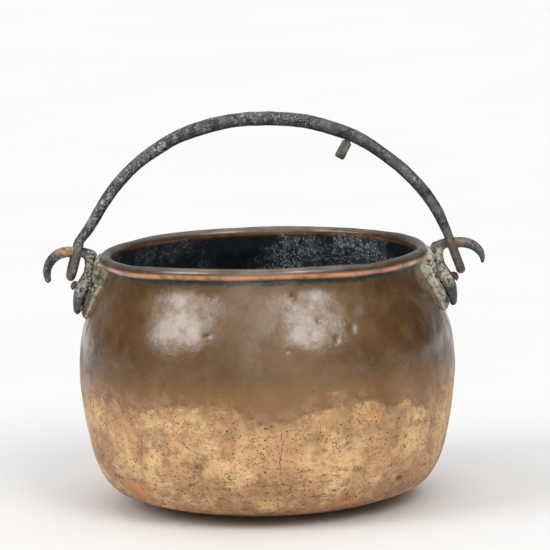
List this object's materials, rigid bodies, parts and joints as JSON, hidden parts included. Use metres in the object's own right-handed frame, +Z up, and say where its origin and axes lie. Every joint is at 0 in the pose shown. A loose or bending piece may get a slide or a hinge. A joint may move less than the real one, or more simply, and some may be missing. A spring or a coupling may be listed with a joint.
{
  "type": "cauldron kettle",
  "caption": "Round hammered copper kettle with a rolled rim, riveted iron ear hooks and an arched iron bail that swings over the open mouth.",
  "frame": {"origin": "centre of the flat base, on the surface the kettle stands on", "axes": "+Z up, +X along the line through the two ears towards the ear on the side of the peg, the bail upright in the XZ plane"},
  "size_m": [0.4236, 0.3606, 0.3749],
  "materials": {
    "patinated_copper": "hammered copper with a glossy dark brown patina",
    "bare_copper": "scrubbed matt copper, pitted and scratched",
    "wrought_iron": "forged, dark and pitted, with rust on the horns",
    "corroded_iron": "crusted with pale and green corrosion",
    "rivet_iron": "hammered rivet heads, brown",
    "peg_iron": "dull olive grey iron"
  },
  "bodies": {
    "kettle": {"kettle_wall": "patinated_copper", "kettle_pan": "bare_copper", "rim_wire": "wrought_iron", "ear_pad_left": "corroded_iron", "ear_pad_right": "corroded_iron", "ear_hook_left": "wrought_iron", "ear_hook_right": "wrought_iron", "main_rivet_left": "rivet_iron", "main_rivet_right": "rivet_iron", "rivet_rove_left": "wrought_iron", "rivet_rove_right": "wrought_iron", "pad_rivet_left_upper_front": "rivet_iron", "pad_rivet_left_upper_back": "rivet_iron", "pad_rivet_left_lower_front": "rivet_iron", "pad_rivet_left_lower_back": "rivet_iron", "pad_rivet_right_upper_front": "rivet_iron", "pad_rivet_right_upper_back": "rivet_iron", "pad_rivet_right_lower_front": "rivet_iron", "pad_rivet_right_lower_back": "rivet_iron"},
    "bail": {"bail": "wrought_iron", "bail_peg": "peg_iron"}
  },
  "joints": [
    {"name": "bail_swing", "type": "hinge", "parent": "kettle", "child": "bail", "pos_m": [0, 0, 0.245], "axis": [1, 0, 0], "range_deg": [-86, 86]}
  ]
}
